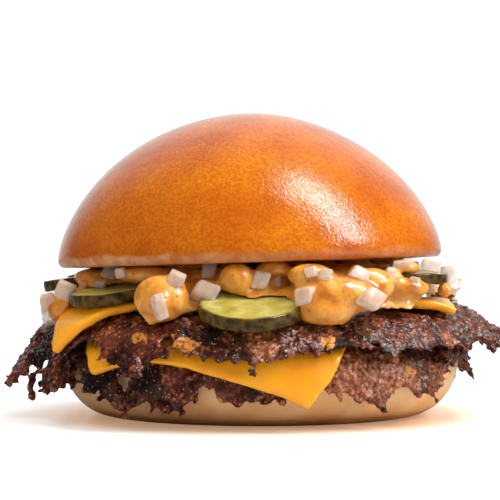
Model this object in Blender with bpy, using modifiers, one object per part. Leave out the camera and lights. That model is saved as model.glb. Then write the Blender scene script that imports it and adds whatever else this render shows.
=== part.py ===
"""A double cheeseburger on a round glazed bun, one object for each separate piece of food.

The stack, from the plate up: heel, lower patty, lower cheese, upper patty, upper cheese, a heap of
burger sauce with diced onion stuck in it, gherkin slices, crown. Metres, +Z up. The origin is the middle
of the heel's flat foot, and the side that is served to the front faces -Y.

The patties and the cheese drape: each lies flat in the middle, bends down over what is below it, and then
hangs straight. A place on such a layer is an arc length from the middle, measured along its underside,
an angle round the middle in degrees (0 is +X, -90 is the front), and a height above that underside.
"""

import math
import random

import bmesh
import bpy
from mathutils import Euler, Matrix, Vector, noise
from mathutils.bvhtree import BVHTree

MM = 0.001
GAP = 0.4 * MM  # between two pieces that press on each other
LAYER_GAP = 0.6 * MM  # between two layers of the stack, which have unlike facets

# Bun
HEEL_RADIUS = 54 * MM
HEEL_FOOT_RADIUS = 40 * MM
HEEL_HEIGHT = 17 * MM
HEEL_EDGE = 2.2 * MM
CROWN_RADIUS = 52.4 * MM
CROWN_CUT_RADIUS = 50.8 * MM
CROWN_CUT = Vector((-2.7 * MM, 0, 41.3 * MM))  # the middle of the cut face
CROWN_LEAN = 1.8  # degrees, down at -X
CROWN_LIP = 2.2 * MM  # height of the lip between the cut and the widest place
CROWN_SAG = 2 * MM  # how far the cut bulges down in the middle
CROWN_HEIGHT = 40.7 * MM
CROWN_DOME_POWER = 1.54  # 2 is an ellipse, and less slopes straighter down from the top
BUN_STEPS = 40
BUN_UNEVENNESS = 0.5 * MM
BUN_SEED = 4

# Rings of the draped layers
RING_START = 46 * MM  # the level middle ends here
BEND_BANDS = 3
PINCH = 0.15 * MM  # between rings that a short reach pushes together

# Patties
PATTY_THICKNESS = 3.9 * MM
PATTY_EDGE = 1.5 * MM
PATTY_FULL_ARC = 42 * MM  # the thickness starts to fall here
PATTY_THIN_ARC = 70 * MM
PATTY_COLUMNS = 98
PATTY_TAIL_BANDS = 3
CRAG_DEPTH = 0.4  # the deepest pit, as a share of the thickness, from each face
CRAG_SIZE = 5 * MM
RAG = 3 * MM  # how far crumbs stick out of the edge
RAG_SIZES = (5, 13)  # more is finer
LACE_START = 58 * MM
HOLE_SHARE = 0.5

# Cheese
CHEESE_THICKNESS = 2.4 * MM
CHEESE_COLUMNS = 40
CHEESE_TAIL_BANDS = 2
STACK_STEP = PATTY_THICKNESS + CHEESE_THICKNESS + 2 * LAYER_GAP  # from one patty up to the next

# Sauce and onion
SAUCE_START = 38 * MM
SAUCE_LIFT = 0.9 * MM  # the sauce bridges the hollows of what it lies on
SAUCE_MIDDLE = 8 * MM
SAUCE_RIM = 2.2 * MM
SAUCE_ROUND_OFF = 8 * MM
SAUCE_COLUMNS = 46
SAUCE_BANDS = 5
SKY_STEP = 3 * MM
SKY_LIFT = 0.3 * MM  # keeps the underside of a swell inside the heap that it swells from
ONION_SIZE = 4.6 * MM
ONION_SEED = 7
HIDDEN_ONIONS = 13

# Gherkins
GHERKIN_RADIUS = 12.4 * MM
GHERKIN_THICKNESS = 2.7 * MM
GHERKIN_EDGE = 0.6 * MM
GHERKIN_SIDES = 20

BREAD_PALE = (0.80, 0.58, 0.33)
BREAD_GLAZED = (0.60, 0.21, 0.03)
BEEF = (0.09, 0.03, 0.018)
CHEESE = (0.93, 0.42, 0.03)
SAUCE = (0.80, 0.33, 0.05)
GHERKIN = (0.33, 0.33, 0.05)

# Lobes round a layer: angle, half width in degrees, height in millimetres.
LOWER_PATTY_REACH = 64.5 * MM
LOWER_PATTY_LOBES = (
    (-148, 6, -3),
    (-136, 3, -3),
    (-127, 4, 4.5),
    (-119, 3, -3),
    (-112, 5, 3),
    (-104, 3, -4.5),
    (-74, 7, -4),
    (-60, 4, 0.5),
    (-52, 2.5, -4),
    (-44, 4, 2),
    (-29, 7, -7),
    (-14, 3, 5),
    (-12, 20, -8),
    (6, 10, -3),
    (30, 8, 3),
    (50, 6, -5),
    (68, 9, 2),
    (96, 8, 5),
    (120, 6, -4),
    (140, 10, 3),
    (174, 9, -4),
)
UPPER_PATTY_REACH = 65 * MM
UPPER_PATTY_LOBES = (
    (-171, 12, 12),
    (-156, 3, -3),
    (-149, 6, 8),
    (-136, 5, -6),
    (-122, 8, 4),
    (-110, 4, -2.5),
    (-98, 4, 1.5),
    (-91, 4, 3.5),
    (-83, 3, -3),
    (-74, 4, 1),
    (-66, 3, -3),
    (-45, 9, 1),
    (-18, 4, 3),
    (-5, 12, 1.5),
    (24, 7, -3),
    (44, 6, 3),
    (66, 8, -3),
    (88, 9, 4),
    (112, 8, 9),
    (134, 6, -3),
    (150, 6, 3),
)
UPPER_PATTY_LIFT = ((-4, 34, 3.5),)
LOWER_LACE = ((-127, 8, 1), (96, 12, 1))  # thin fried lace with holes: angle, half width, share
UPPER_LACE = ((-168, 25, 1), (-4, 15, 1), (112, 12, 1))

# Corners of the cheese slices: angle, and reach in millimetres. The sides run straight from one to the next.
LOWER_CHEESE_CORNERS = (
    (-134, 59),
    (-104, 57.8),
    (-92, 60.5),
    (-79, 66),
    (18, 56),
    (104, 66),
    (163, 51),
)
UPPER_CHEESE_CORNERS = ((-142, 66.5), (-92, 40), (-33, 58), (46, 62), (124, 65))

# Sauce lobes along its reach and up its mounds, in millimetres.
SAUCE_REACH = 50 * MM
SAUCE_DRIPS = (
    (-153, 8, 8),
    (-135, 6, -3),
    (-118, 8, 8.5),
    (-93, 9, 3),
    (-73, 11, 8.5),
    (-46, 8, 5),
    (-12, 8, 3),
    (12, 11, 6),
    (50, 14, 8),
    (92, 8, 4),
    (130, 14, 8),
    (170, 9, 4),
)
SAUCE_MOUNDS = (
    (-153, 9, 1.2),
    (-118, 9, 2.4),
    (-94, 9, 4.4),
    (-71, 14, 4.4),
    (50, 14, 2.6),
    (90, 9, 1),
    (132, 13, 2.4),
    (176, 14, 1.2),
)

# Swells of sauce at the front: the middle and the half size along X, Y and Z, in millimetres.
SAUCE_SWELLS = (
    (-51.9, -26, 28.8, 3.6, 4, 3.4),
    (-24.5, -51, 32.4, 7, 5, 6),
    (-6, -47, 37.2, 4.6, 5, 4.1),
    (12.1, -49, 38.1, 6, 5, 3),
    (18.1, -52, 33, 11, 6, 5),
    (15.6, -54, 29.3, 7.5, 5, 3.6),
    (27.5, -47, 35.6, 6, 5, 4.5),
    (37.1, -38, 34.7, 6, 5, 2.6),
    (-42, -15, 37.2, 8, 11, 2.8),
    (-29, -33, 38.2, 9, 7, 2.6),
)

# Gherkin slices: the middle in millimetres, the outward tilt in degrees and the size as a share.
GHERKINS = (
    ((-2.5, -52.5, 30), 19, 1),
    ((-37.5, -31, 33.2), 10, 0.92),
    ((-47, -5, 36.2), 8, 0.92),
    ((37, -25, 38), 5, 0.95),
    ((42, 22, 36.9), 8, 1),
    ((14, 45, 36.6), 9, 0.93),
    ((-18, 44, 36.8), 10, 1),
    ((-44, 21, 37), 7, 0.88),
)

# Onion dice on the front of the sauce: the middle, the width and the height in millimetres, and the roll.
FRONT_ONIONS = (
    (-55.8, -20, 29.3, 5, 9.2, -12),
    (-50.6, -28, 34, 5.2, 5.2, 20),
    (-41.7, -38, 35.5, 3.5, 2.5, 3),
    (-38.8, -33, 38.4, 5.6, 3.8, 8),
    (-35.4, -33, 38.5, 2.8, 3.1, -10),
    (-37.4, -46, 30.1, 5.7, 5.5, 35),
    (-24.7, -56, 30.7, 3.6, 7, -14),
    (-20.8, -45, 37.1, 4.7, 4.5, 12),
    (-12.8, -45, 38.9, 4.2, 4.2, -8),
    (-13.6, -54, 34, 6.1, 5.9, 24),
    (0, -54, 36.7, 5.4, 5.9, 10),
    (4, -54, 36.5, 2.7, 4.6, -6),
    (12.2, -50, 39, 3.7, 3.2, -20),
    (15.7, -51, 38.3, 4.4, 3.4, 14),
    (10.4, -58, 33.3, 5.8, 4.4, -12),
    (24.3, -48, 38.3, 6.4, 4.5, 26),
    (27, -54, 32.3, 6.1, 5.4, 30),
    (32.5, -44, 38.1, 3.5, 4.5, 4),
    (38.8, -40, 36.8, 3.3, 2, 12),
)


def smooth_step(low, high, value):
    share = min(1.0, max(0.0, (value - low) / (high - low)))
    return share * share * (3 - 2 * share)


def angle_between(first, second):
    """The shorter way round from one angle to the other, in degrees, without a sign."""
    return abs((first - second + 180) % 360 - 180)


def lobes_at(angle, lobes):
    """The sum of the rounded lobes at an angle."""
    return sum(
        height * math.exp(-((angle_between(angle, centre) / width) ** 2))
        for centre, width, height in lobes
    )


def around(angle, radius):
    """A horizontal vector of that length, pointing that way."""
    return Vector((math.cos(math.radians(angle)), math.sin(math.radians(angle)), 0)) * radius


class Drape:
    """The underside of a layer that lies flat, bends down and hangs."""

    def __init__(self, z, flat, bend, droop, droop_swing, steepest, lifts=()):
        self.z = z
        self.flat = flat
        self.bend = bend
        self.droop = droop
        self.droop_swing = droop_swing
        self.steepest = steepest
        self.lifts = lifts

    def droop_at(self, angle):
        """How steeply the layer hangs at that angle, in radians below the horizontal."""
        swing = math.cos(math.radians(angle - self.steepest))
        return math.radians(self.droop + self.droop_swing * swing)

    def point(self, arc, angle, above):
        droop = self.droop_at(angle)
        turned = min(droop, max(0.0, (arc - self.flat) / self.bend))
        straight = max(0.0, arc - self.flat - self.bend * droop)
        radius = self.bend + above
        reach = min(arc, self.flat) + radius * math.sin(turned) + straight * math.cos(droop)
        z = self.z - self.bend + radius * math.cos(turned) - straight * math.sin(droop)
        z += lobes_at(angle, self.lifts) * MM * smooth_step(self.flat - 4 * MM, self.flat + 8 * MM, arc)
        return around(angle, reach) + Vector((0, 0, z))


LOWER_DRAPE = Drape(
    z=HEEL_HEIGHT + LAYER_GAP,
    flat=50 * MM,
    bend=6 * MM,
    droop=64,
    droop_swing=20,
    steepest=-95,
)
UPPER_DRAPE = Drape(
    z=LOWER_DRAPE.z + STACK_STEP,
    flat=LOWER_DRAPE.flat,
    bend=LOWER_DRAPE.bend + STACK_STEP,
    droop=48,
    droop_swing=13,
    steepest=-150,
    lifts=UPPER_PATTY_LIFT,
)


def collection(name):
    made = bpy.data.collections.new(name)
    bpy.context.scene.collection.children.link(made)
    return made


def material(name, colour, roughness):
    made = bpy.data.materials.new(name)
    made.use_nodes = True
    shader = made.node_tree.nodes["Principled BSDF"]
    shader.inputs["Base Color"].default_value = (*colour, 1)
    shader.inputs["Roughness"].default_value = roughness
    made.diffuse_color = (*colour, 1)
    return made


def add_object(name, mesh, finish, where):
    made = bpy.data.objects.new(name, mesh)
    made.data.materials.append(finish)
    where.objects.link(made)
    return made


def shade(mesh, sharp_angle):
    mesh.shade_smooth()
    mesh.set_sharp_from_angle(angle=math.radians(sharp_angle))


def mesh_of(bm, name):
    bmesh.ops.recalc_face_normals(bm, faces=bm.faces)
    mesh = bpy.data.meshes.new(name)
    bm.to_mesh(mesh)
    bm.free()
    return mesh


def evaluated_mesh(obj):
    bpy.context.view_layer.update()
    graph = bpy.context.evaluated_depsgraph_get()
    return bpy.data.meshes.new_from_object(obj.evaluated_get(graph))


def turned_mesh(name, profile):
    """The closed mesh of an outline in radius and height, turned round Z from the axis back to the axis."""
    line = bpy.data.meshes.new(name)
    points = [(radius, 0, z) for radius, z in profile]
    line.from_pydata(points, [(i, i + 1) for i in range(len(points) - 1)], [])
    turner = bpy.data.objects.new(name + "_outline", line)
    bpy.context.scene.collection.objects.link(turner)
    screw = turner.modifiers.new("Turn", "SCREW")
    screw.steps = screw.render_steps = BUN_STEPS
    screw.use_merge_vertices = True
    screw.merge_threshold = 0.00001
    mesh = evaluated_mesh(turner)
    bpy.data.objects.remove(turner)
    bm = bmesh.new()
    bm.from_mesh(mesh)
    bmesh.ops.remove_doubles(bm, verts=bm.verts, dist=0.000001)
    return mesh_of(bm, name)


def uneven(point, seed, amount, size):
    """A soft wander of a baked surface, the same at each run."""
    return noise.noise_vector(point / size + Vector((seed, 0, 0))) * amount


def heel(finish, where):
    """The bottom half of the bun: a flat foot, a side that rounds out to the cut, and the cut face."""
    steps = 8
    side = []
    for i in range(steps + 1):
        turn = math.pi / 2 * i / steps
        radius = HEEL_FOOT_RADIUS + (HEEL_RADIUS - HEEL_FOOT_RADIUS) * math.sin(turn)
        side.append((radius, (HEEL_HEIGHT - HEEL_EDGE) * (1 - math.cos(turn))))
    top = [
        (HEEL_RADIUS - 0.3 * HEEL_EDGE, HEEL_HEIGHT - 0.3 * HEEL_EDGE),
        (HEEL_RADIUS - HEEL_EDGE, HEEL_HEIGHT),
    ]
    mesh = turned_mesh("heel", [(0, 0), *side, *top, (0, HEEL_HEIGHT)])
    for vertex in mesh.vertices:
        z = vertex.co.z
        share = smooth_step(0, 5 * MM, z) * smooth_step(0, 5 * MM, HEEL_HEIGHT - z)
        shift = uneven(vertex.co, 3, BUN_UNEVENNESS, 30 * MM) * share
        vertex.co += Vector((shift.x, shift.y, 0))
    shade(mesh, 50)
    return add_object("heel", mesh, finish, where)


def crown_mesh(grown):
    """The top half of the bun, with every face moved out by that much: a cut, a rounded lip and a dome."""
    dome_steps, lip_steps = 11, 3
    widest = CROWN_RADIUS + grown
    cut = CROWN_CUT_RADIUS + grown
    outline = [(0, CROWN_HEIGHT + grown)]
    for i in range(1, dome_steps + 1):
        share = math.sin(math.pi / 2 * i / dome_steps)
        height = (1 - share**2) ** (1 / CROWN_DOME_POWER)
        outline.append((widest * share, CROWN_LIP + (CROWN_HEIGHT + grown - CROWN_LIP) * height))
    for i in range(1, lip_steps + 1):
        turn = math.pi / 2 * i / lip_steps
        radius = cut + (widest - cut) * math.cos(turn)
        outline.append((radius, CROWN_LIP - (CROWN_LIP + grown) * math.sin(turn)))
    mesh = turned_mesh("crown", [*outline, (0, -grown - CROWN_SAG)])
    place = Matrix.Translation(CROWN_CUT) @ Matrix.Rotation(-math.radians(CROWN_LEAN), 4, "Y")
    for vertex in mesh.vertices:
        share = smooth_step(0, CROWN_LIP, vertex.co.z)
        vertex.co = place @ (vertex.co + uneven(vertex.co, 11, BUN_UNEVENNESS, 34 * MM) * share)
    return mesh


def crown(finish, where):
    mesh = crown_mesh(0)
    shade(mesh, 50)
    return add_object("crown", mesh, finish, where)


def even_angles(columns):
    return [360 * i / columns for i in range(columns)]


def flat_sheet(angles, arcs_at):
    """A sheet that isn't draped yet: polar rings in the plane, each vertex at its arc length and angle."""
    bm = bmesh.new()
    bmesh.ops.create_circle(bm, cap_ends=True, segments=len(angles), radius=1)
    first = sorted(bm.verts, key=lambda vertex: math.atan2(vertex.co.y, vertex.co.x) % math.tau)
    column_of = {vertex: i for i, vertex in enumerate(first)}
    for vertex in first:
        angle = angles[column_of[vertex]]
        vertex.co = around(angle, arcs_at(angle)[0])
    edges = bm.edges[:]
    for ring in range(1, len(arcs_at(angles[0]))):
        made = bmesh.ops.extrude_edge_only(bm, edges=edges)["geom"]
        for vertex in [item for item in made if isinstance(item, bmesh.types.BMVert)]:
            parent = next(edge.other_vert(vertex) for edge in vertex.link_edges if not edge.is_boundary)
            column_of[vertex] = column_of[parent]
            angle = angles[column_of[vertex]]
            vertex.co = around(angle, arcs_at(angle)[ring])
        edges = [item for item in made if isinstance(item, bmesh.types.BMEdge) and item.is_boundary]
    return bm


def draped_mesh(bm, name, under, over):
    """The closed mesh of a flat sheet. under and over give the place of a vertex on either face."""
    made = bmesh.ops.extrude_face_region(bm, geom=bm.faces[:], use_keep_orig=True)["geom"]
    upper = {item for item in made if isinstance(item, bmesh.types.BMVert)}
    for vertex in bm.verts:
        arc = vertex.co.length
        angle = math.degrees(math.atan2(vertex.co.y, vertex.co.x))
        vertex.co = (over if vertex in upper else under)(arc, angle)
    bmesh.ops.triangulate(bm, faces=bm.faces[:])
    return mesh_of(bm, name)


def bend_arcs(drape, angle):
    """The rings that all layers share: where the level middle ends, and evenly through the bend."""
    bend_end = drape.flat + drape.bend * drape.droop_at(angle)
    bend = [drape.flat + (bend_end - drape.flat) * i / BEND_BANDS for i in range(BEND_BANDS + 1)]
    return [RING_START, *bend]


def patty_thickness(arc):
    fall = smooth_step(PATTY_FULL_ARC, PATTY_THIN_ARC, arc)
    return PATTY_THICKNESS - (PATTY_THICKNESS - PATTY_EDGE) * fall


def patty(name, drape, base_reach, lobes, lace, seed, finish, where):
    """A smashed patty: level in the middle and craggy outside, with a ragged edge and fried lace."""
    dice = random.Random(seed)

    def arcs_at(angle):
        crumbs = sum(noise.noise(around(angle, size) + Vector((seed, 0, 0))) for size in RAG_SIZES)
        reach = base_reach + lobes_at(angle, lobes) * MM + RAG * crumbs
        arcs = bend_arcs(drape, angle)
        tail = max(0.0, reach - arcs[-1])
        arcs += [arcs[-1] + tail * i / PATTY_TAIL_BANDS for i in range(1, PATTY_TAIL_BANDS + 1)]
        last = len(arcs) - 1
        return [min(arc, reach - (last - i) * PINCH) for i, arc in enumerate(arcs)]

    def pit(arc, angle, side):
        spot = drape.point(arc, angle, 0) / CRAG_SIZE + Vector((seed, side, 0))
        depth = min(1.0, 2.2 * abs(noise.noise(spot)))
        share = smooth_step(RING_START, RING_START + 5 * MM, arc)
        return share * CRAG_DEPTH * patty_thickness(arc) * depth

    def under(arc, angle):
        return drape.point(arc, angle, pit(arc, angle, 0))

    def over(arc, angle):
        return drape.point(arc, angle, patty_thickness(arc) - pit(arc, angle, 9))

    def in_lace(face):
        spot = face.calc_center_median()
        angle = math.degrees(math.atan2(spot.y, spot.x))
        inside = all(edge.link_faces[0] is not edge.link_faces[-1] for edge in face.edges)
        return inside and spot.length > LACE_START and lobes_at(angle, lace) > 0.5

    sheet = flat_sheet(even_angles(PATTY_COLUMNS), arcs_at)
    cells = [face for face in sheet.faces if in_lace(face)]
    taken = set()
    for cell in dice.sample(cells, len(cells)):
        if taken.isdisjoint(cell.verts) and dice.random() < HOLE_SHARE:
            taken.update(vertex for near in cell.verts for face in near.link_faces for vertex in face.verts)
            bmesh.ops.delete(sheet, geom=[cell], context="FACES_ONLY")
    mesh = draped_mesh(sheet, name, under, over)
    shade(mesh, 35)
    return add_object(name, mesh, finish, where)


def cut_outline(sheet, corners):
    """Cuts a flat sheet along the straight sides between corners, given as an angle and millimetres."""
    points = [around(angle, reach * MM) for angle, reach in corners]
    for first, second in zip(points, points[1:] + points[:1]):
        side = second - first
        bmesh.ops.bisect_plane(
            sheet,
            geom=[*sheet.verts, *sheet.edges, *sheet.faces],
            dist=0.2 * MM,
            plane_co=first,
            plane_no=Vector((side.y, -side.x, 0)).normalized(),
            clear_outer=True,
        )


def cheese(name, drape, corners, finish, where):
    """A slice laid on a patty, its corners hanging."""
    longest = max(reach for _, reach in corners) * MM

    def arcs_at(angle):
        arcs = bend_arcs(drape, angle)
        tail = longest + MM - arcs[-1]
        return arcs + [arcs[-1] + tail * i / CHEESE_TAIL_BANDS for i in range(1, CHEESE_TAIL_BANDS + 1)]

    def under(arc, angle):
        return drape.point(arc, angle, patty_thickness(arc) + LAYER_GAP)

    def over(arc, angle):
        return drape.point(arc, angle, patty_thickness(arc) + LAYER_GAP + CHEESE_THICKNESS)

    sheet = flat_sheet(even_angles(CHEESE_COLUMNS), arcs_at)
    cut_outline(sheet, corners)
    mesh = draped_mesh(sheet, name, under, over)
    shade(mesh, 50)
    return add_object(name, mesh, finish, where)


def slice_reach(angle, corners):
    """How far a slice of cheese reaches at an angle."""
    points = [around(turn, reach * MM) for turn, reach in corners]
    ray = around(angle, 1)
    crossings = []
    for first, second in zip(points, points[1:] + points[:1]):
        side = second - first
        reach = first.cross(side).z / ray.cross(side).z
        if reach > 0:
            crossings.append(reach)
    return min(crossings)


def sauce_bed(arc, angle):
    """How high over the upper drape the sauce lies: on the cheese, or beyond it on the beef."""
    reach = max(slice_reach(angle + turn, UPPER_CHEESE_CORNERS) for turn in (-6, 0, 6))
    on_cheese = 1 - smooth_step(reach + 2 * MM, reach + 5 * MM, arc)
    return patty_thickness(arc) + SAUCE_LIFT + (CHEESE_THICKNESS + LAYER_GAP) * on_cheese


def sauce_reach(angle):
    return SAUCE_REACH + lobes_at(angle, SAUCE_DRIPS) * MM


def sauce_height(arc, angle):
    """How thick the sauce is: up to the crown in the middle, and mounds that round off at its edge."""
    rim = SAUCE_RIM + lobes_at(angle, SAUCE_MOUNDS) * MM
    reach = sauce_reach(angle)
    middle = 1 - smooth_step(SAUCE_START, SAUCE_START + 9 * MM, arc)
    edge = math.sqrt(max(0.05, 1 - smooth_step(reach - SAUCE_ROUND_OFF, reach, arc)))
    return (rim + (SAUCE_MIDDLE - rim) * middle) * edge


def below_crown(point):
    """The point, lowered where it would be nearer to the crown's cut than the gap."""
    side = point - CROWN_CUT
    bulge = CROWN_SAG * max(0.0, 1 - side.xy.length / CROWN_CUT_RADIUS)
    cut_z = CROWN_CUT.z + side.x * math.tan(math.radians(CROWN_LEAN)) - bulge
    return Vector((point.x, point.y, min(point.z, cut_z - 1.2 * GAP)))


def sauce_core():
    """The heap of sauce without its onion, with drips that run down over the edge of the stack."""

    def arcs_at(angle):
        step = (sauce_reach(angle) - SAUCE_START) / SAUCE_BANDS
        return [SAUCE_START + step * i for i in range(SAUCE_BANDS + 1)]

    def under(arc, angle):
        return UPPER_DRAPE.point(arc, angle, sauce_bed(arc, angle))

    def over(arc, angle):
        height = sauce_bed(arc, angle) + sauce_height(arc, angle)
        return below_crown(UPPER_DRAPE.point(arc, angle, height))

    return draped_mesh(flat_sheet(even_angles(SAUCE_COLUMNS), arcs_at), "sauce_core", under, over)


def sky():
    """All the room over what the sauce lies on, out beyond the edge of the beef."""

    def arcs_at(angle):
        return [SAUCE_START + SKY_STEP * i for i in range(13)]

    def under(arc, angle):
        return UPPER_DRAPE.point(arc, angle, sauce_bed(arc, angle) + SKY_LIFT)

    def over(arc, angle):
        return UPPER_DRAPE.point(arc, angle, 30 * MM)

    return draped_mesh(flat_sheet(even_angles(SAUCE_COLUMNS), arcs_at), "sky", under, over)


def swell_mesh(name, centre, half):
    """A rounded swell of sauce."""
    bm = bmesh.new()
    place = Matrix.Translation(centre) @ Matrix.Diagonal((*half, 1))
    bmesh.ops.create_icosphere(bm, subdivisions=2, radius=1, matrix=place)
    return mesh_of(bm, name)


def onion_dice(surface):
    """The middle, the size and the turn of each die: the front ones as served, the others round the back."""
    dice = random.Random(ONION_SEED)
    for x, y, z, width, height, roll in FRONT_ONIONS:
        size = Vector((0.8 * width, dice.uniform(0.8, 1.1) * min(width, height), 0.84 * height)) * MM
        turn = Euler((dice.uniform(-0.35, 0.35), math.radians(roll), dice.uniform(-0.5, 0.5)))
        hit = surface.ray_cast(Vector((x, y - 40, z)) * MM, Vector((0, 1, 0)))[0]
        yield hit or Vector((x, y, z)) * MM, size, turn
    for i in range(HIDDEN_ONIONS):
        angle = -14 + 210 * (i + dice.uniform(0.2, 0.8)) / HIDDEN_ONIONS
        arc = sauce_reach(angle) - dice.uniform(2, 8) * MM
        height = sauce_bed(arc, angle) + sauce_height(arc, angle) + 0.25 * ONION_SIZE
        size = Vector([dice.uniform(0.7, 1.1) for _ in range(3)]) * ONION_SIZE
        turn = Euler((dice.uniform(-0.6, 0.6), dice.uniform(-0.6, 0.6), math.radians(angle + 90)))
        yield UPPER_DRAPE.point(arc, angle, height), size, turn


def die_mesh(name, centre, size, turn):
    """One die of onion: a block, one pair of whose sides leans."""
    bm = bmesh.new()
    bmesh.ops.create_cube(bm, size=1)
    for vertex in bm.verts:
        vertex.co.x += 0.15 * vertex.co.z
    bmesh.ops.scale(bm, vec=size, verts=bm.verts)
    place = Matrix.Translation(centre) @ turn.to_matrix().to_4x4()
    bmesh.ops.transform(bm, matrix=place, verts=bm.verts)
    return mesh_of(bm, name)


def gherkin_mesh(name, centre, tilt, share, grown):
    """A slice of gherkin, with every face moved out by that much: a thick disc that isn't quite round."""
    bm = bmesh.new()
    bmesh.ops.create_cone(
        bm,
        cap_ends=True,
        segments=GHERKIN_SIDES,
        radius1=GHERKIN_RADIUS * share + grown,
        radius2=GHERKIN_RADIUS * share + grown,
        depth=GHERKIN_THICKNESS + 2 * grown,
    )
    rims = [edge for edge in bm.edges if abs(edge.verts[0].co.z - edge.verts[1].co.z) < 0.1 * MM]
    bmesh.ops.bevel(
        bm,
        geom=[] if grown else rims,
        offset=GHERKIN_EDGE,
        affect="EDGES",
        segments=1,
        profile=0.5,
        material=-1,
    )
    outward = math.atan2(centre.y, centre.x)
    for vertex in bm.verts:
        turn = math.atan2(vertex.co.y, vertex.co.x)
        vertex.co.x *= 1 + 0.03 * math.cos(3 * turn + outward)
        vertex.co.y *= 1 + 0.03 * math.sin(2 * turn + outward)
    lean = Matrix.Rotation(math.radians(tilt), 4, "Y")
    place = Matrix.Translation(centre) @ Matrix.Rotation(outward, 4, "Z") @ lean
    bmesh.ops.transform(bm, matrix=place, verts=bm.verts)
    return mesh_of(bm, name)


def gherkins(grown, finish, where, prefix):
    for i, (centre, tilt, share) in enumerate(GHERKINS, 1):
        name = f"{prefix}_{i}"
        mesh = gherkin_mesh(name, Vector(centre) * MM, tilt, share, grown)
        shade(mesh, 40)
        add_object(name, mesh, finish, where)


def boolean(obj, others, operation):
    modifier = obj.modifiers.new(operation.title(), "BOOLEAN")
    modifier.operation = operation
    modifier.operand_type = "COLLECTION"
    modifier.collection = others


def largest_piece(mesh, name):
    """The mesh without the loose scraps that a cut leaves."""
    bm = bmesh.new()
    bm.from_mesh(mesh)
    bmesh.ops.remove_doubles(bm, verts=bm.verts, dist=0.000002)
    unseen = set(bm.faces)
    islands = []
    while unseen:
        island = {unseen.pop()}
        border = list(island)
        while border:
            for edge in border.pop().edges:
                fresh = set(edge.link_faces) - island
                island |= fresh
                border.extend(fresh)
        unseen -= island
        islands.append(island)
    kept = max(islands, key=len)
    bmesh.ops.delete(bm, geom=[face for face in bm.faces if face not in kept], context="FACES")
    return mesh_of(bm, name)


def sauce(finish, where):
    """The sauce with its onion fused on, cut back round the gherkins and the crown that press into it."""
    heap = add_object("heap", sauce_core(), finish, where)
    above = collection("above")
    add_object("sky", sky(), finish, above)
    swells = collection("swells")
    for i, (x, y, z, *half) in enumerate(SAUCE_SWELLS):
        name = f"swell_{i}"
        mesh = swell_mesh(name, Vector((x, y, z)) * MM, Vector(half) * MM)
        boolean(add_object(name, mesh, finish, swells), above, "INTERSECT")
    boolean(heap, swells, "UNION")
    heap.data = evaluated_mesh(heap)
    heap.modifiers.clear()
    surface = BVHTree.FromPolygons(
        [vertex.co for vertex in heap.data.vertices], [face.vertices for face in heap.data.polygons]
    )
    onions = collection("onion_dice")
    for i, (centre, size, turn) in enumerate(onion_dice(surface)):
        name = f"die_{i}"
        boolean(add_object(name, die_mesh(name, centre, size, turn), finish, onions), above, "INTERSECT")
    room = collection("room")
    gherkins(GAP, finish, room, "room")
    add_object("room_crown", crown_mesh(GAP), finish, room)
    boolean(heap, onions, "UNION")
    boolean(heap, room, "DIFFERENCE")
    mesh = largest_piece(evaluated_mesh(heap), "sauce")
    helpers = (above, swells, onions, room)
    for helper in [heap, *(obj for group in helpers for obj in group.objects)]:
        bpy.data.objects.remove(helper)
    for helper in helpers:
        bpy.data.collections.remove(helper)
    shade(mesh, 40)
    return add_object("sauce", mesh, finish, where)


def main():
    for obj in list(bpy.data.objects):
        bpy.data.objects.remove(obj)
    noise.seed_set(BUN_SEED)
    where = collection("cheeseburger")
    pale = material("bread_pale", BREAD_PALE, 0.6)
    glazed = material("bread_glazed", BREAD_GLAZED, 0.25)
    beef = material("beef", BEEF, 0.45)
    cheddar = material("cheese", CHEESE, 0.35)
    dressing = material("sauce", SAUCE, 0.2)
    pickled = material("gherkin", GHERKIN, 0.25)
    heel(pale, where)
    patty("patty_lower", LOWER_DRAPE, LOWER_PATTY_REACH, LOWER_PATTY_LOBES, LOWER_LACE, 5, beef, where)
    cheese("cheese_lower", LOWER_DRAPE, LOWER_CHEESE_CORNERS, cheddar, where)
    patty("patty_upper", UPPER_DRAPE, UPPER_PATTY_REACH, UPPER_PATTY_LOBES, UPPER_LACE, 23, beef, where)
    cheese("cheese_upper", UPPER_DRAPE, UPPER_CHEESE_CORNERS, cheddar, where)
    gherkins(0, pickled, where, "gherkin")
    sauce(dressing, where)
    crown(glazed, where)


main()
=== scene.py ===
"""The looks of a double cheeseburger: glazed bun, draped beef and cheese, sauce, onion and gherkin.

Metres, +Z up, and the side that is served to the front faces -Y. Each piece takes its place from the
frame, and each finish is procedural and reads Object coordinates or an attribute of its own mesh.
"""

import math
import random

import bmesh
import bpy
from mathutils import Euler, Matrix, Vector, noise
from mathutils.bvhtree import BVHTree


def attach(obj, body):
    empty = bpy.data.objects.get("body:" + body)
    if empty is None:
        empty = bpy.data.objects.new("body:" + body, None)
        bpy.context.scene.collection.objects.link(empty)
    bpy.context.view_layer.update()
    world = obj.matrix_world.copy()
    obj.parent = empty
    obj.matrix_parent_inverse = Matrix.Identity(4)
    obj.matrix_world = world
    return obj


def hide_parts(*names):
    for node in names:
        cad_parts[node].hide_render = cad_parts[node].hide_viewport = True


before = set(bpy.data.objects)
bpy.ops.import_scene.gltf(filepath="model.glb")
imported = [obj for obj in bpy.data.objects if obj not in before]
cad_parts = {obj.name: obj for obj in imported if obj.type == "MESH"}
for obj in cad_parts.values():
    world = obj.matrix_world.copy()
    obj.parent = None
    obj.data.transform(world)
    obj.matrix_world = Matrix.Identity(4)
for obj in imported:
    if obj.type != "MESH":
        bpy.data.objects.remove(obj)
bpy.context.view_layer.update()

MM = 0.001
NOISE_SEED = 4

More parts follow.
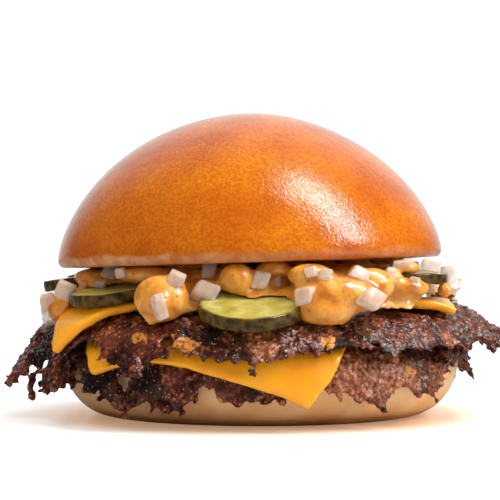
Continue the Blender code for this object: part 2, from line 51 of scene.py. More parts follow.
# Bun
HEEL_RADIUS = 54 * MM
HEEL_FOOT_RADIUS = 40 * MM
HEEL_HEIGHT = 17 * MM
HEEL_EDGE = 2.2 * MM
CROWN_RADIUS = 52.4 * MM
CROWN_CUT_RADIUS = 50.8 * MM
CROWN_CUT = Vector((-2.7 * MM, 0, 41.3 * MM))
CROWN_LEAN = 1.8
CROWN_LIP = 2.2 * MM
CROWN_SAG = 2 * MM
CROWN_HEIGHT = 40.7 * MM
CROWN_DOME_POWER = 1.54
BUN_STEPS = 440
BUN_UNEVENNESS = 0.5 * MM

# Beef
BEEF_ROUGH_VOXEL = 1 * MM
BEEF_VOXEL = 0.64 * MM
LEVEL_MIDDLE = 40 * MM
LUMPS = 800
LUMP_SIZES = (0.9 * MM, 2 * MM)
CRUMB_SIZES = (0.45 * MM, 1.25 * MM)
HOLE_SIZES = (0.7 * MM, 1.7 * MM)
GRAIN_SIZES = (2.1 * MM, 1.2 * MM)
GRAIN_DEPTHS = (0.5 * MM, 0.3 * MM)

# Fried lace that hangs from the left end of the upper beef: where it starts, how far it runs along X, its
# lengths at the two ends, the share of strands left out, and the step down a strand.
LACE_START = -66 * MM
LACE_SPAN = 18 * MM
LACE_LENGTHS = (3 * MM, 9 * MM)
LACE_SLITS = 0.15
LACE_STEP = 0.8 * MM

# Burnt places on the beef, and fatty places that also carry painted light where the key light falls: the
# middle and the size in millimetres.
LOWER_CHAR = ((-43, -45, 12, 9), (-30, -53, 13, 6))
LOWER_FAT = ((22, -55, 14, 11), (36, -48, 15, 10), (46, -38, 12, 6))
UPPER_CHAR = ((-53, -27, 20, 9), (-12, -58, 25, 4), (18, -60, 21, 4))
UPPER_FAT = ((0, -62, 20, 4), (-1, -58, 24, 4), (48, -40, 22, 3))

# Where cheese melted into the gaps between the grains: the middle and the size in millimetres.
UPPER_MELT = (
    (-31, -53, 24, 4),
    (-22, -56, 26, 3.2),
    (-18, -58, 21, 4.2),
    (12, -60, 26, 3),
    (16, -60, 23, 3.4),
    (51, -33, 21, 3),
)
LOWER_MELT = ((40, -46, 14, 5), (-24, -54, 15, 3), (-10, -56, 7, 3))

# Cheese and sauce
CHEESE_VOXEL = 0.65 * MM
SAUCE_VOXEL = 0.6 * MM

# Gherkin
RIND_WIDTH = 0.8 * MM

# Onion
ONION_SEED = 7
BACK_ONIONS = 60

# Onion dice at the front: the middle, the width and the height in millimetres, and the roll in degrees.
FRONT_ONIONS = (
    (-55.8, -20, 29.3, 5, 9.2, -12),
    (-50.6, -28, 34, 5.2, 5.2, 20),
    (-41.7, -38, 35.5, 3.5, 2.5, 3),
    (-38.8, -33, 38.4, 5.6, 3.8, 8),
    (-35.4, -33, 38.5, 2.8, 3.1, -10),
    (-37.4, -46, 30.1, 5.7, 5.5, 35),
    (-24.7, -56, 30.7, 3.6, 7, -14),
    (-20.8, -45, 37.1, 4.7, 4.5, 12),
    (-12.8, -45, 38.9, 4.2, 4.2, -8),
    (-13.6, -54, 34, 6.1, 5.9, 24),
    (0, -54, 36.7, 5.4, 5.9, 10),
    (4, -54, 36.5, 2.7, 4.6, -6),
    (12.2, -50, 39, 3.7, 3.2, -20),
    (15.7, -51, 38.3, 4.4, 3.4, 14),
    (10.4, -58, 33.3, 5.8, 4.4, -12),
    (24.3, -48, 38.3, 6.4, 4.5, 26),
    (27, -54, 32.3, 6.1, 5.4, 30),
    (32.5, -44, 38.1, 3.5, 4.5, 4),
    (38.8, -40, 36.8, 3.3, 2, 12),
    (35.9, -38, 40.7, 5.3, 2.8, -6),
    (43.7, -33, 40.5, 6.1, 4.1, 8),
    (48.5, -28, 37.9, 3.9, 5.2, -5),
    (45.3, -33, 33.9, 2.8, 2.6, 10),
)

# Swells of sauce at the front: the middle and the half size along X, Y and Z, in millimetres.
SAUCE_SWELLS = (
    (-51.9, -26, 28.8, 3.6, 4, 3.4),
    (-24.5, -51, 32.4, 7, 5, 6),
    (-6, -47, 37.2, 4.6, 5, 4.1),
    (3.5, -44, 39.6, 5, 4, 2.2),
    (12.1, -49, 38.1, 6, 5, 3),
    (18.1, -52, 33, 11, 6, 5),
    (15.6, -54, 29.3, 7.5, 5, 3.6),
    (27.5, -47, 35.6, 6, 5, 4.5),
    (37.1, -38, 34.7, 6, 5, 2.6),
    (47.6, -30, 34.1, 2.2, 3, 2.2),
    (-42, -15, 37.2, 8, 11, 2.8),
    (-29, -33, 38.2, 9, 7, 2.6),
    (33, -39, 37.5, 3, 4, 2.5),
    (37, -34, 40, 4, 4, 1.8),
)

# Studio: how bright the surroundings are in front of and behind the burger, first as light and then as they
# are mirrored, how far out the floor starts and ends to turn plain white, and where a painted orange bounce
# of the burger's own colour tints the floor round it.
SOFT_FILL = (0.64, 0.85)
SHINE_FILL = (0.02, 0.85)
FLOOR_NEAR = 0.2
FLOOR_FAR = 0.7
WARM_FLOOR = (45 * MM, 78 * MM)
CAMERA_PLACE = Vector((-2.7 * MM, -480 * MM, 41.3 * MM))
CAMERA_TILT = 90.4
PHOTO_FOCAL_PIXELS = 1745
PHOTO_WIDTH = 500
SENSOR_WIDTH = 36


def smooth_step(low, high, value):
    share = min(1.0, max(0.0, (value - low) / (high - low)))
    return share * share * (3 - 2 * share)


def around(angle, radius):
    """A horizontal vector of that length, pointing that way."""
    return Vector((math.cos(math.radians(angle)), math.sin(math.radians(angle)), 0)) * radius


def uneven(point, seed, amount, size):
    """A soft wander of a baked surface."""
    return noise.noise_vector(point / size + Vector((seed, 0, 0))) * amount


# Materials


def plug(tree, node, sockets):
    """Fills a node's sockets, by name or number, from values or from other nodes' outputs."""
    for key, value in sockets.items():
        if isinstance(value, bpy.types.NodeSocket):
            tree.links.new(value, node.inputs[key])
        else:
            node.inputs[key].default_value = value


def add_node(tree, kind, sockets, **settings):
    made = tree.nodes.new(kind)
    for key, value in settings.items():
        setattr(made, key, value)
    plug(tree, made, sockets)
    return made


def new_finish(name, sockets):
    made = bpy.data.materials.new(name)
    made.use_nodes = True
    plug(made.node_tree, made.node_tree.nodes["Principled BSDF"], sockets)
    return made, made.node_tree, made.node_tree.nodes["Principled BSDF"]


def place_of(tree):
    """Object coordinates."""
    return add_node(tree, "ShaderNodeTexCoord", {}).outputs["Object"]


def attribute(tree, name):
    return add_node(tree, "ShaderNodeAttribute", {}, attribute_name=name).outputs["Fac"]


def cloudy(tree, size, detail=2.0, distortion=0.0):
    """Noise whose features are about that many metres across, from 0 to 1."""
    sockets = {"Vector": place_of(tree), "Scale": 1 / size, "Detail": detail, "Distortion": distortion}
    return add_node(tree, "ShaderNodeTexNoise", sockets).outputs["Fac"]


def cells(tree, size):
    """The distance to the nearest of points strewn about that many metres apart, as a share."""
    sockets = {"Vector": place_of(tree), "Scale": 1 / size}
    return add_node(tree, "ShaderNodeTexVoronoi", sockets).outputs["Distance"]


def ranged(tree, value, low, high, to_low=0.0, to_high=1.0):
    """A value taken smoothly from one range to another."""
    sockets = {"Value": value, "From Min": low, "From Max": high, "To Min": to_low, "To Max": to_high}
    return add_node(tree, "ShaderNodeMapRange", sockets, interpolation_type="SMOOTHSTEP").outputs["Result"]


def maths(tree, operation, first, second):
    return add_node(tree, "ShaderNodeMath", {0: first, 1: second}, operation=operation).outputs[0]


def blended(tree, share, first, second, blend_type="MIX"):
    """One colour over another."""
    first = first if isinstance(first, bpy.types.NodeSocket) else (*first, 1)
    second = second if isinstance(second, bpy.types.NodeSocket) else (*second, 1)
    sockets = {0: share, 6: first, 7: second}
    return add_node(tree, "ShaderNodeMix", sockets, data_type="RGBA", blend_type=blend_type).outputs[2]


def ramp(tree, value, *stops):
    """A colour for each value: stops are pairs of a place from 0 to 1 and a colour."""
    made = add_node(tree, "ShaderNodeValToRGB", {0: value})
    points = made.color_ramp.elements
    while len(points) < len(stops):
        points.new(1)
    for point, (where, colour) in zip(points, stops):
        point.position = where
        point.color = (*colour, 1)
    return made.outputs["Color"]


def bump(tree, height, depth, strength=1.0, under=None):
    sockets = {"Height": height, "Distance": depth, "Strength": strength}
    if under is not None:
        sockets["Normal"] = under
    return add_node(tree, "ShaderNodeBump", sockets).outputs["Normal"]


def crust_finish():
    """Egg-glazed crust: orange brown, mottled and finely dimpled, with a pale band low down, fuller on the
    left, that is partly bread that stayed pale and partly painted reflection of the pale floor and filling
    below.
    """
    made, tree, shader = new_finish(
        "glazed_crust",
        {
            "Specular IOR Level": 0.05,
            "Coat Weight": 1,
            "Coat Roughness": 0.05,
            "Coat IOR": 1.5,
            "Subsurface Weight": 0.06,
            "Subsurface Radius": (0.004, 0.0015, 0.0005),
            "Subsurface Scale": 0.5,
        },
    )
    broad = cloudy(tree, 16 * MM, 3)
    baked = ramp(
        tree,
        broad,
        (0.3, (0.46, 0.085, 0.003)),
        (0.52, (0.60, 0.145, 0.004)),
        (0.72, (0.68, 0.20, 0.005)),
    )
    grain = ranged(tree, cloudy(tree, 0.75 * MM, 3), 0.62, 0.36)
    baked = blended(tree, maths(tree, "MULTIPLY", grain, 0.5), baked, (0.34, 0.055, 0.003))
    wander = maths(tree, "MULTIPLY", cloudy(tree, 6 * MM, 4), 0.26)
    height = maths(tree, "ADD", attribute(tree, "lip"), wander)
    # The pale band low down, fuller on the left: partly bread that stayed pale, partly painted reflection of
    # the pale floor and filling below the lip.
    left = ranged(tree, attribute(tree, "pale"), 0, 1, 0.45, 1)
    pale = maths(tree, "MULTIPLY", ranged(tree, height, 0.37, 0.27), left)
    band = ramp(tree, cloudy(tree, 5 * MM, 3), (0.35, (0.44, 0.13, 0.03)), (0.65, (0.64, 0.30, 0.13)))
    colour = blended(tree, pale, baked, band)
    dimples = cloudy(tree, 0.6 * MM, 2)
    creases = cloudy(tree, 2 * MM, 3, 0.6)
    normal = bump(tree, creases, 0.2 * MM, 0.4, bump(tree, dimples, 0.12 * MM, 0.9))
    roughness = ranged(tree, pale, 0, 1, 0.34, 0.55)
    plug(tree, shader, {"Base Color": colour, "Roughness": roughness})
    plug(tree, shader, {"Normal": normal, "Coat Normal": normal})
    return made


def bread_finish():
    """Soft pale bread, browned low down and at the edge of its foot."""
    made, tree, shader = new_finish(
        "pale_bread",
        {
            "Specular IOR Level": 0.3,
            "Subsurface Weight": 0.12,
            "Subsurface Radius": (0.005, 0.003, 0.0015),
            "Subsurface Scale": 0.5,
            "Coat Weight": 0.4,
            "Coat Roughness": 0.22,
        },
    )
    soft = ramp(tree, cloudy(tree, 12 * MM, 3), (0.35, (0.84, 0.45, 0.17)), (0.65, (0.96, 0.66, 0.35)))
    low = maths(tree, "ADD", attribute(tree, "foot"), maths(tree, "MULTIPLY", cloudy(tree, 5 * MM, 4), 0.5))
    toasted = ramp(tree, low, (0.5, (0, 0, 0)), (0.85, (0.2, 0.2, 0.2)), (1, (0.6, 0.6, 0.6)))
    colour = blended(tree, toasted, soft, (0.44, 0.17, 0.035))
    pores = bump(tree, cloudy(tree, 0.6 * MM, 2), 0.06 * MM, 0.5)
    normal = bump(tree, cloudy(tree, 3 * MM, 3), 0.2 * MM, 0.5, pores)
    plug(tree, shader, {"Base Color": colour, "Roughness": 0.5, "Normal": normal})
    return made


def beef_finish(name, seed):
    """Seared beef: black where it charred, red brown on its grains with painted shade in the pits between
    them, painted light on its fatty places, painted glints, wet, and with cheese in its gaps.
    """
    made, tree, shader = new_finish(name, {"Specular IOR Level": 0.25, "Coat Roughness": 0.08})
    grains = maths(tree, "MULTIPLY", maths(tree, "SUBTRACT", 1.0, cells(tree, 1.2 * MM)), 0.35)
    fine = maths(tree, "ADD", grains, maths(tree, "MULTIPLY", cloudy(tree, 0.9 * MM, 4), 0.65))
    height = maths(tree, "ADD", maths(tree, "MULTIPLY", attribute(tree, "crag"), 0.45), fine)
    # Darker in the pits between the grains and lighter on their tops: painted shade over the beef's red
    # brown.
    lean = ramp(
        tree,
        maths(tree, "SUBTRACT", height, 0.2),
        (0.26, (0.007, 0.002, 0.001)),
        (0.44, (0.070, 0.013, 0.005)),
        (0.58, (0.20, 0.040, 0.014)),
        (0.74, (0.46, 0.16, 0.07)),
    )
    red = ranged(tree, cloudy(tree, (7 + seed) * MM, 3), 0.5, 0.66)
    lean = blended(tree, maths(tree, "MULTIPLY", red, 0.45), lean, (0.26, 0.055, 0.025))
    dark = ranged(tree, cloudy(tree, (9 + seed) * MM, 3, 0.5), 0.52, 0.36)
    lean = blended(tree, maths(tree, "MULTIPLY", dark, 0.55), lean, (0.02, 0.007, 0.005))
    # Fatty places, lighter on the tops of the grains: partly fat, partly painted light where the key light
    # falls.
    fat = ramp(
        tree,
        fine,
        (0.38, (0.19, 0.035, 0.012)),
        (0.56, (0.46, 0.15, 0.055)),
        (0.72, (0.72, 0.40, 0.22)),
    )
    lean = blended(tree, maths(tree, "MULTIPLY", attribute(tree, "fat"), 0.85), lean, fat)
    burnt = attribute(tree, "char")
    lean = blended(tree, maths(tree, "MULTIPLY", burnt, 0.92), lean, (0.010, 0.006, 0.006))
    # Painted glints: pale specks that stand in for highlights of the lamps on the wet beef.
    specks = ranged(tree, cells(tree, 1.3 * MM), 0.22, 0.12)
    specks = maths(tree, "MULTIPLY", specks, cloudy(tree, 2.2 * MM, 2))
    lean = blended(tree, specks, lean, (0.66, 0.47, 0.40))
    pits = maths(tree, "SUBTRACT", attribute(tree, "melt"), maths(tree, "MULTIPLY", height, 0.75))
    colour = blended(tree, ranged(tree, pits, 0.4, 0.5), lean, (0.70, 0.26, 0.035))
    normal = bump(tree, cloudy(tree, 1.5 * MM, 3), 0.5 * MM, 0.9, bump(tree, fine, 0.45 * MM, 0.9))
    roughness = ranged(tree, cloudy(tree, 3 * MM, 3), 0.35, 0.65, 0.25, 0.5)
    wet = ranged(tree, burnt, 0, 1, 0.6, 0.12)
    plug(tree, shader, {"Base Color": colour, "Roughness": roughness, "Coat Weight": wet})
    plug(tree, shader, {"Normal": normal, "Coat Normal": normal})
    return made


def cheese_finish():
    """Melted orange cheese: smooth, a little see-through at its edge, with a greasy shine."""
    made, tree, shader = new_finish(
        "melted_cheese",
        {
            "Specular IOR Level": 0.3,
            "Subsurface Weight": 0.35,
            "Subsurface Radius": (0.005, 0.002, 0.0004),
            "Subsurface Scale": 0.6,
            "Coat Weight": 0.6,
            "Coat Roughness": 0.12,
        },
    )
    colour = ramp(tree, cloudy(tree, 9 * MM, 2), (0.3, (0.96, 0.34, 0.006)), (0.7, (1, 0.42, 0.012)))
    grease = bump(tree, cloudy(tree, 0.7 * MM, 2), 0.04 * MM, 0.5)
    normal = bump(tree, cloudy(tree, 5 * MM, 3), 0.35 * MM, 0.4, grease)
    roughness = ranged(tree, cloudy(tree, 6 * MM, 2), 0.3, 0.7, 0.26, 0.42)
    plug(tree, shader, {"Base Color": colour, "Roughness": roughness, "Normal": normal})
    return made


def sauce_finish():
    """Burger sauce: creamy orange, darker in patches, wet, with flecks of red pepper."""
    made, tree, shader = new_finish(
        "burger_sauce",
        {
            "Specular IOR Level": 0.5,
            "Subsurface Weight": 0.2,
            "Subsurface Radius": (0.004, 0.0015, 0.0005),
            "Subsurface Scale": 0.5,
            "Coat Weight": 0.9,
            "Coat Roughness": 0.06,
        },
    )
    cream = ramp(
        tree,
        cloudy(tree, 5 * MM, 4, 0.6),
        (0.3, (0.52, 0.14, 0.010)),
        (0.5, (0.76, 0.31, 0.032)),
        (0.7, (0.90, 0.49, 0.12)),
    )
    flecks = ranged(tree, cells(tree, 2.9 * MM), 0.17, 0.1)
    colour = blended(tree, maths(tree, "MULTIPLY", flecks, 0.6), cream, (0.45, 0.06, 0.006))
    grit = bump(tree, cloudy(tree, 0.8 * MM, 2), 0.1 * MM, 0.5)
    normal = bump(tree, cloudy(tree, 2.6 * MM, 3, 0.5), 0.45 * MM, 0.6, grit)
    plug(tree, shader, {"Base Color": colour, "Roughness": 0.3, "Normal": normal, "Coat Normal": normal})
    return made


def onion_finish():
    """Raw onion: wet, cloudy and see-through, whiter in cloudy patches."""
    made, tree, shader = new_finish(
        "raw_onion",
        {
            "IOR": 1.36,
            "Alpha": 0.62,
            "Transmission Weight": 0.15,
            "Subsurface Weight": 0.6,
            "Subsurface Radius": (0.003, 0.0025, 0.002),
            "Subsurface Scale": 0.7,
            "Coat Weight": 0.8,
            "Coat Roughness": 0.07,
        },
    )
    colour = ramp(
        tree,
        cloudy(tree, 2.6 * MM, 3, 0.5),
        (0.3, (0.70, 0.54, 0.42)),
        (0.5, (0.80, 0.69, 0.58)),
        (0.7, (0.93, 0.87, 0.80)),
    )
    normal = bump(tree, cloudy(tree, 1.1 * MM, 3), 0.2 * MM, 0.7)
    plug(tree, shader, {"Base Color": colour, "Roughness": 0.28, "Normal": normal, "Coat Normal": normal})
    return made


def gherkin_finish():
    """Pickled gherkin: cloudy yellow green flesh, and a dark olive rind."""
    made, tree, shader = new_finish(
        "pickled_gherkin",
        {
            "Specular IOR Level": 0.3,
            "Subsurface Weight": 0.3,
            "Subsurface Radius": (0.004, 0.004, 0.001),
            "Subsurface Scale": 0.6,
            "Coat Roughness": 0.07,
        },
    )
    flesh = ramp(
        tree,
        cloudy(tree, 3 * MM, 4),
        (0.3, (0.34, 0.28, 0.040)),
        (0.55, (0.50, 0.43, 0.09)),
        (0.75, (0.64, 0.57, 0.21)),
    )
    rind = ramp(tree, cloudy(tree, 1.8 * MM, 3), (0.36, (0.020, 0.010, 0.001)), (0.62, (0.12, 0.062, 0.004)))
    colour = blended(tree, attribute(tree, "rind"), flesh, rind)
    normal = bump(tree, cloudy(tree, 1.4 * MM, 3), 0.3 * MM, 0.6)
    wet = ranged(tree, attribute(tree, "rind"), 0, 1, 0.6, 0.2)
    plug(tree, shader, {"Base Color": colour, "Roughness": 0.3, "Coat Weight": wet})
    plug(tree, shader, {"Normal": normal, "Coat Normal": normal})
    return made


# Meshes


def mesh_of(bm, name):
    mesh = bpy.data.meshes.new(name)
    bm.to_mesh(mesh)
    bm.free()
    mesh.shade_smooth()
    return mesh


def add_piece(name, mesh, finish, slot, *nodes):
    """Puts a finished piece in the scene, in place of the nodes that it stands for."""
    mesh.materials.clear()
    mesh.materials.append(finish)
    piece = bpy.data.objects.new(name, mesh)
    bpy.context.scene.collection.objects.link(piece)
    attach(piece, "root")
    if nodes:
        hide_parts(*nodes)
    return piece


def merged_copy(node):
    """A copy of a node with its loose triangles joined up."""
    bm = bmesh.new()
    bm.from_mesh(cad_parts[node].data)
    bmesh.ops.remove_doubles(bm, verts=bm.verts, dist=0.01 * MM)
    return bm


def with_modifiers(bm, set_up):
    """The bmesh after the modifiers that set_up gives to an object of it."""
    helper = bpy.data.objects.new("helper", mesh_of(bm, "helper"))
    bpy.context.scene.collection.objects.link(helper)
    set_up(helper)
    bpy.context.view_layer.update()
    graph = bpy.context.evaluated_depsgraph_get()
    mesh = bpy.data.meshes.new_from_object(helper.evaluated_get(graph))
    bpy.data.objects.remove(helper)
    made = bmesh.new()
    made.from_mesh(mesh)
    bpy.data.meshes.remove(mesh)
    return made


def remeshed(bm, voxel):
    """The closed shells of a bmesh melted into one, with even faces."""

    def set_up(helper):
        modifier = helper.modifiers.new("Voxels", "REMESH")
        modifier.mode = "VOXEL"
        modifier.voxel_size = voxel

    return with_modifiers(bm, set_up)


def cut_away(bm, cutter):
    """The bmesh without the places inside another."""
    tool = bpy.data.objects.new("cutter", mesh_of(cutter, "cutter"))
    bpy.context.scene.collection.objects.link(tool)

    def set_up(helper):
        modifier = helper.modifiers.new("Cut", "BOOLEAN")
        modifier.operation = "DIFFERENCE"
        modifier.object = tool

    made = with_modifiers(bm, set_up)
    bpy.data.objects.remove(tool)
    return made


def smoothed(bm, times, factor=0.5):
    for _ in range(times):
        bmesh.ops.smooth_vert(
            bm, verts=bm.verts, factor=factor, use_axis_x=True, use_axis_y=True, use_axis_z=True
        )
    return bm


def add_blob(bm, centre, size, dice, subdivisions=2):
    """An egg of that size on each side, turned any way."""
    turn = Euler([dice.uniform(0, math.tau) for _ in range(3)]).to_matrix().to_4x4()
    scale = Matrix.Diagonal((*size, 1))
    place = Matrix.Translation(centre) @ turn @ scale
    bmesh.ops.create_icosphere(bm, subdivisions=subdivisions, radius=1, matrix=place)


def spun(profile, steps):
    """An outline in radius and height, turned round Z from the axis back to the axis."""
    bm = bmesh.new()
    verts = [bm.verts.new((radius, 0, z)) for radius, z in profile]
    edges = [bm.edges.new(pair) for pair in zip(verts, verts[1:])]
    bmesh.ops.spin(
        bm,
        geom=[*verts, *edges],
        cent=(0, 0, 0),
        axis=(0, 0, 1),
        angle=math.tau,
        steps=steps,
        use_merge=True,
    )
    bmesh.ops.remove_doubles(bm, verts=bm.verts, dist=0.001 * MM)
    bmesh.ops.recalc_face_normals(bm, faces=bm.faces)
    return bm


# Pieces


def make_crown():
    """The top half of the bun: a dome, a rounded lip and a cut face that sags in the middle."""
    dome_steps, lip_steps, cut_steps = 84, 9, 10
    profile = [(0, CROWN_HEIGHT)]
    for i in range(1, dome_steps + 1):
        share = math.sin(math.pi / 2 * i / dome_steps)
        height = (1 - share**2) ** (1 / CROWN_DOME_POWER)
        profile.append((CROWN_RADIUS * share, CROWN_LIP + (CROWN_HEIGHT - CROWN_LIP) * height))
    for i in range(1, lip_steps + 1):
        turn = math.pi / 2 * i / lip_steps
        radius = CROWN_CUT_RADIUS + (CROWN_RADIUS - CROWN_CUT_RADIUS) * math.cos(turn)
        profile.append((radius, CROWN_LIP * (1 - math.sin(turn))))
    for i in range(1, cut_steps + 1):
        share = i / cut_steps
        profile.append((CROWN_CUT_RADIUS * (1 - share), -CROWN_SAG * share))
    bm = spun(profile, BUN_STEPS)
    lip = bm.verts.layers.float.new("lip")
    pale = bm.verts.layers.float.new("pale")
    place = Matrix.Translation(CROWN_CUT) @ Matrix.Rotation(-math.radians(CROWN_LEAN), 4, "Y")
    for vertex in bm.verts:
        point = vertex.co.copy()
        vertex[lip] = smooth_step(-2 * MM, 14 * MM, point.z)
        # How fully the low band is painted pale, most on the left: partly bread that stayed pale, partly
        # painted reflection.
        vertex[pale] = 1 - smooth_step(-30 * MM, 30 * MM, point.x)
        share = smooth_step(0, CROWN_LIP, point.z)
        wrinkle = noise.noise(point / (3.2 * MM)) + 0.5 * noise.noise(point / (1.6 * MM))
        moved = point + uneven(point, 11, BUN_UNEVENNESS, 34 * MM) * share
        moved += point.normalized() * wrinkle * 0.045 * MM * share
        vertex.co = place @ moved
    add_piece("glazed_crown", mesh_of(bm, "glazed_crown"), crust_finish(), "bread_glazed", "crown")


def make_heel():
    """The bottom half of the bun: a flat foot, a side that rounds out to the cut, and the cut face."""
    side_steps, foot_steps = 40, 8
    profile = [(HEEL_FOOT_RADIUS * i / foot_steps, 0) for i in range(foot_steps)]
    for i in range(side_steps + 1):
        turn = math.pi / 2 * i / side_steps
        radius = HEEL_FOOT_RADIUS + (HEEL_RADIUS - HEEL_FOOT_RADIUS) * math.sin(turn)
        profile.append((radius, (HEEL_HEIGHT - HEEL_EDGE) * (1 - math.cos(turn))))
    for i in range(1, 6):
        turn = math.pi / 2 * i / 5
        radius = HEEL_RADIUS - HEEL_EDGE * (1 - math.cos(turn))
        profile.append((radius, HEEL_HEIGHT - HEEL_EDGE * (1 - math.sin(turn))))
    profile += [((HEEL_RADIUS - HEEL_EDGE) * (1 - i / 10), HEEL_HEIGHT) for i in range(1, 11)]
    bm = spun(profile, BUN_STEPS // 2)
    foot = bm.verts.layers.float.new("foot")
    for vertex in bm.verts:
        point = vertex.co.copy()
        vertex[foot] = 1 - smooth_step(0.3 * MM, 5 * MM, point.z)
        share = smooth_step(0, 5 * MM, point.z) * smooth_step(0, 5 * MM, HEEL_HEIGHT - point.z)
        shift = uneven(point, 3, BUN_UNEVENNESS, 30 * MM) * share
        wrinkle = noise.noise(point / (6 * MM)) * 0.12 * MM * share
        vertex.co += Vector((shift.x, shift.y, 0)) + point.normalized() * wrinkle
    add_piece("pale_heel", mesh_of(bm, "pale_heel"), bread_finish(), "bread_pale", "heel")


def rim_points(bm, droop, step=1.5):
    """The lowest hanging point of a draped layer in each direction, and the way it hangs there."""
    ends = {}
    for vertex in bm.verts:
        angle = math.degrees(math.atan2(vertex.co.y, vertex.co.x))
        reach = vertex.co.xy.length * math.cos(droop) - vertex.co.z * math.sin(droop)
        place = round(angle / step)
        if place not in ends or reach > ends[place][0]:
            outward = around(angle, math.cos(droop)) - Vector((0, 0, math.sin(droop)))
            ends[place] = (reach, vertex.co.copy(), outward)
    return [ends[place][1:] for place in sorted(ends)]


def any_way(dice):
    """A unit vector turned any way."""
    return Euler([dice.uniform(0, math.tau) for _ in range(3)]).to_matrix() @ Vector((1, 0, 0))


def strewn(bm, count, reach, dice):
    """Random points on the faces beyond that reach, evenly over their area, each with its face's normal."""
    bmesh.ops.triangulate(bm, faces=bm.faces)
    faces = [face for face in bm.faces if face.calc_center_median().xy.length > reach]
    picked = dice.choices(faces, weights=[face.calc_area() for face in faces], k=count)
    for face in picked:
        first, second, third = (vertex.co for vertex in face.verts)
        along, across = sorted((dice.random(), dice.random()))
        yield first * along + second * (across - along) + third * (1 - across), face.normal


def add_crumbs(bm, crumbs, rim, dice):
    """Lumps of mince strewn over the outside, sunk in for the most part, and crumbs all along the edge."""
    for point, outward in strewn(bm, LUMPS, LEVEL_MIDDLE, dice):
        size = dice.uniform(*LUMP_SIZES)
        spot = point - outward * (size * 0.7 - dice.uniform(0.2, 0.7) * MM)
        add_blob(crumbs, spot, (size, size * 0.7, size * 1.2), dice, 1)
    for point, outward in rim:
        for _ in range(dice.randint(2, 5)):
            size = dice.uniform(*CRUMB_SIZES)
            edge = point + outward * dice.uniform(-3.5, 0.7) * MM
            spot = edge + any_way(dice) * dice.uniform(0.2, 1.4) * MM
            add_blob(crumbs, spot, (size, size * 0.75, size * 1.3), dice, 1)


def add_lace(crumbs, rim, lengths, dice):
    """Strands of fried lace that hang from the left end, longer further in, with slits between them."""
    for point, _ in [*rim, *rim]:
        share = (point.x - LACE_START) / LACE_SPAN
        if not 0 <= share <= 1 or point.y > 0 or dice.random() < LACE_SLITS:
            continue
        length = (lengths[0] + (lengths[1] - lengths[0]) * share) * dice.uniform(0.6, 1)
        aside = dice.uniform(-1, 1) * MM
        for i in range(int(length / LACE_STEP)):
            aside += dice.uniform(-0.35, 0.35) * MM
            size = dice.uniform(0.8, 1.5) * MM
            spot = point + Vector((aside, dice.uniform(-0.5, 0.5) * MM, -LACE_STEP * i))
            add_blob(crumbs, spot, (size, size * 0.7, size * 1.2), dice, 1)


def holes_for(rim, dice):
    """Where the thin beef near the edge fried through."""
    holes = bmesh.new()
    taken = []
    for point, outward in rim:
        size = dice.uniform(*HOLE_SIZES)
        spot = point + outward * dice.uniform(-6, -1) * MM
        apart = all((spot - other).length > 4.4 * MM for other in taken)
        if apart and dice.random() < 0.3:
            taken.append(spot)
            add_blob(holes, spot, (size, size * 0.8, size * 1.3), dice)
    return holes


def largest_piece(bm):
    """The bmesh without the scraps that hang loose."""
    unseen = set(bm.verts)
    pieces = []
    while unseen:
        border = [unseen.pop()]
        piece = set(border)
        while border:
            for edge in border.pop().link_edges:
                for vertex in edge.verts:
                    if vertex not in piece:
                        piece.add(vertex)
                        border.append(vertex)
        unseen -= piece
        pieces.append(piece)
    kept = max(pieces, key=len)
    bmesh.ops.delete(bm, geom=[vertex for vertex in bm.verts if vertex not in kept], context="VERTS")
    return bm


def grain_height(point):
    """How far grains of mince stand out, from 0 in the pits between them to 1, coarse and fine."""
    heights = []
    for size in GRAIN_SIZES:
        nearest, second = noise.voronoi(point / size)[0][:2]
        heights.append(min(1.0, 1.7 * (second - nearest)))
    return heights


def spotted(point, spots):
    """1 at the spots, fading unevenly to 0 round them."""
    share = 0
    for x, y, z, size in spots:
        distance = (point - Vector((x, y, z)) * MM).length / (size * MM)
        share = max(share, 1 - smooth_step(0.6, 1.15, distance + 0.45 * noise.noise(point / (3 * MM))))
    return share


def roughen(bm, seed, char_spots, fat_spots, melt_spots):
    """Lumps and grains on the outside. Marks how far each place stands out, and its char, its fat with
    painted light, and its cheese.
    """
    crag = bm.verts.layers.float.new("crag")
    char = bm.verts.layers.float.new("char")
    fat = bm.verts.layers.float.new("fat")
    melt = bm.verts.layers.float.new("melt")
    bm.normal_update()
    moves = []
    for vertex in bm.verts:
        point = vertex.co + Vector((seed, 0, 0))
        share = smooth_step(LEVEL_MIDDLE, LEVEL_MIDDLE + 6 * MM, vertex.co.xy.length)
        coarse, fine = grain_height(point)
        lump = noise.noise(point / (4.5 * MM))
        rise = 0.4 * MM * lump + GRAIN_DEPTHS[0] * (coarse - 0.55) + GRAIN_DEPTHS[1] * (fine - 0.5)
        moves.append(vertex.normal * rise * share)
        # crag also sets the painted shade in the pits of the beef's colour.
        vertex[crag] = min(1.0, max(0.0, 0.5 * coarse + 0.3 * fine + 0.35 * lump + 0.1))
        singed = 0.5 * smooth_step(0.25, 0.6, noise.noise(point / (11 * MM)))
        vertex[char] = max(spotted(vertex.co, char_spots), singed)
        # Fat, with painted light on the side the key light falls on.
        vertex[fat] = spotted(vertex.co, fat_spots)
        vertex[melt] = spotted(vertex.co, melt_spots)
    for vertex, move in zip(bm.verts, moves):
        vertex.co += move


